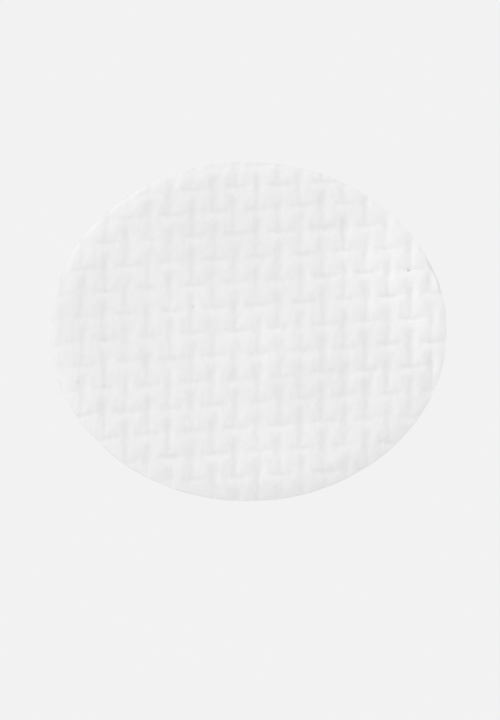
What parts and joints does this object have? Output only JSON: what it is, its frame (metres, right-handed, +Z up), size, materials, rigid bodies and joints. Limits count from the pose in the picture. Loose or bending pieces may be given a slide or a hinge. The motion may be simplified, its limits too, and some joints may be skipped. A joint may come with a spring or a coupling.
{
  "type": "cleansing pad",
  "caption": "Thin round pad of white nonwoven, with a pressed basket-weave pattern on its upper face and a soft rolled shoulder down to a thin cut rim.",
  "frame": {"origin": "centre of the flat underside", "axes": "+Z up out of the patterned face, +Y along the pattern's grooves and away from the viewer in the picture, +X to the right in the picture"},
  "size_m": [0.057, 0.057, 0.001],
  "materials": {
    "white_nonwoven": "matt white nonwoven, fine fibre surface with pressed grooves"
  },
  "bodies": {
    "root": {"pad": "white_nonwoven"}
  },
  "joints": []
}
